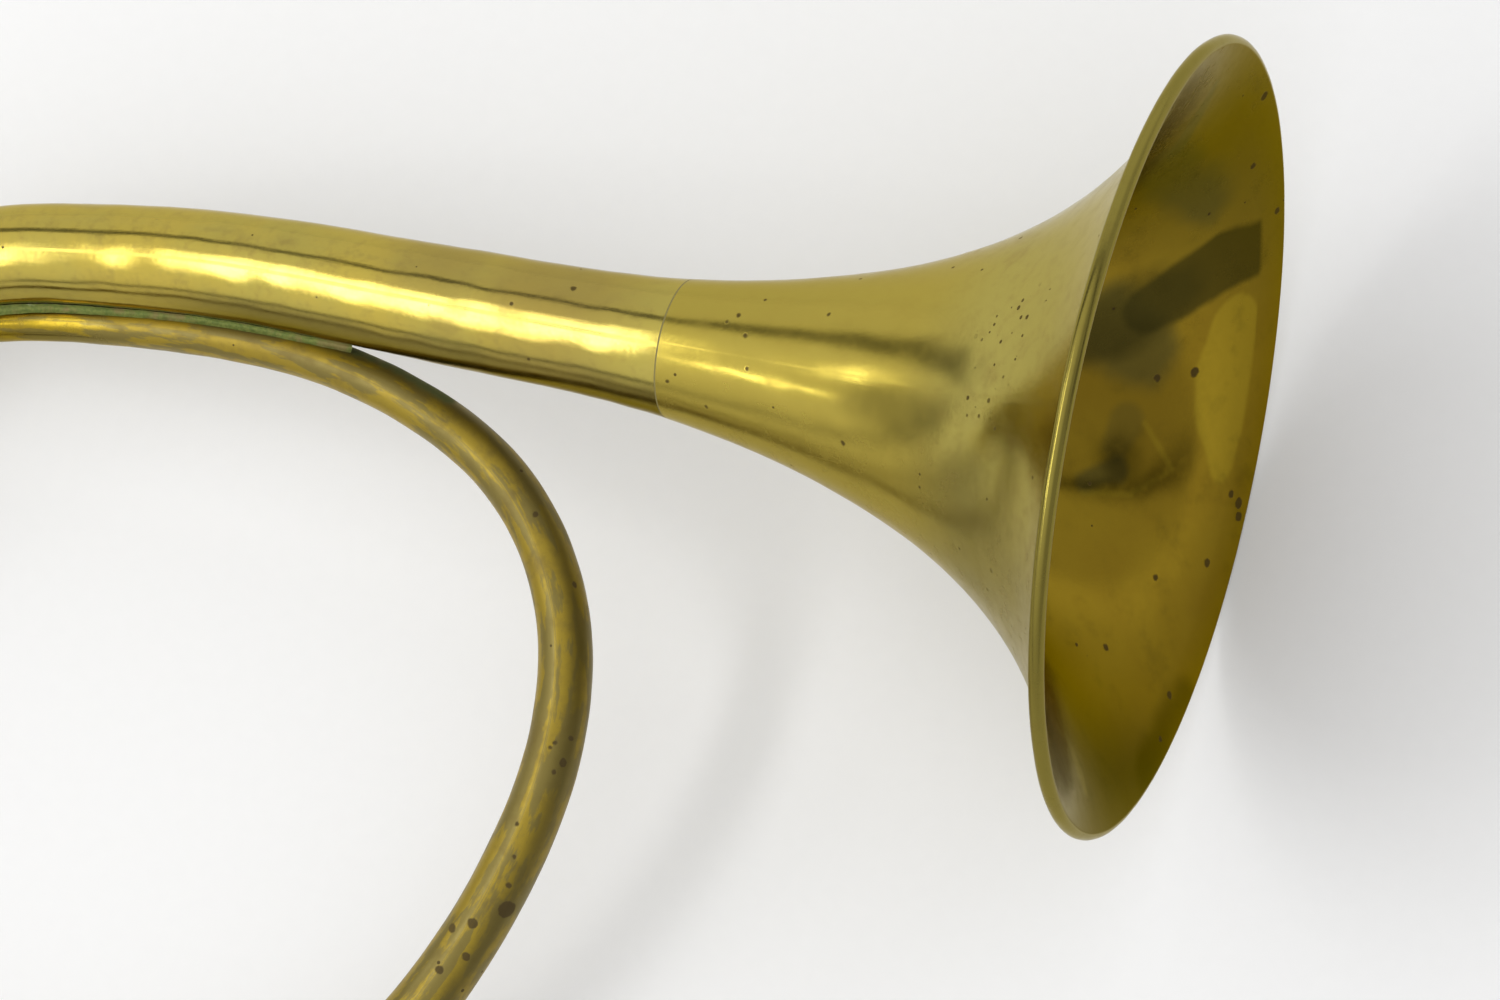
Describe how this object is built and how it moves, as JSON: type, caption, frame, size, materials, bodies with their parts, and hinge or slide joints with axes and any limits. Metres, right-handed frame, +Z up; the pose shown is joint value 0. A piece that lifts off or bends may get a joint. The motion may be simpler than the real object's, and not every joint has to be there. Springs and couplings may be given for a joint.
{
  "type": "natural horn",
  "caption": "Valveless coiled brass horn lying on its side: wide spun bell, conical tube bent into an egg-shaped coil, thin mouthpipe with receiver and pull-out mouthpiece.",
  "frame": {"origin": "on the surface the horn lies on, below the middle of its bounding box", "axes": "+X level, along the horn's length from mouthpiece to bell; +Y level, from the coil towards the bell's tail; +Z up from the surface"},
  "size_m": [0.4582, 0.2932, 0.1621],
  "materials": {
    "bell_brass": "thin spun sheet, unlacquered, satin with fine pits and a warm tarnish",
    "rim_wire": "drawn wire inside the rolled bead, dull",
    "solder": "wiped solder line, dull and yellowed",
    "tail_brass": "hand-burnished conical tube, polished with soft ripples, olive shade in the hollows",
    "coil_brass": "polished thin tube with brown tarnish and dark spots",
    "ferrule_brass": "turned bands, polished on the crown and brown at the edges",
    "verdigris_solder": "soft solder fillet stained green with verdigris",
    "receiver_brass": "turned and polished, light scratches",
    "mouthpiece_brass": "turned and polished, bright at the rim and tarnished in the cup"
  },
  "bodies": {
    "horn": {"bell_flare": "bell_brass", "bell_rim_wire": "rim_wire", "bell_joint_solder": "solder", "bell_tail": "tail_brass", "tail_ferrule": "ferrule_brass", "coil_lower_branch": "coil_brass", "coil_ferrule": "ferrule_brass", "coil_upper_branch": "coil_brass", "nest_solder": "verdigris_solder", "crossing_saddle": "ferrule_brass", "mouthpipe_ferrule": "ferrule_brass", "mouthpipe": "coil_brass", "receiver": "receiver_brass", "receiver_ring": "ferrule_brass"},
    "mouthpiece": {"mouthpiece": "mouthpiece_brass"}
  },
  "joints": [
    {"name": "mouthpiece_slide", "type": "slide", "parent": "horn", "child": "mouthpiece", "axis": [-0.9733, -0.2259, -0.0419], "range_m": [0, 0.03]}
  ]
}
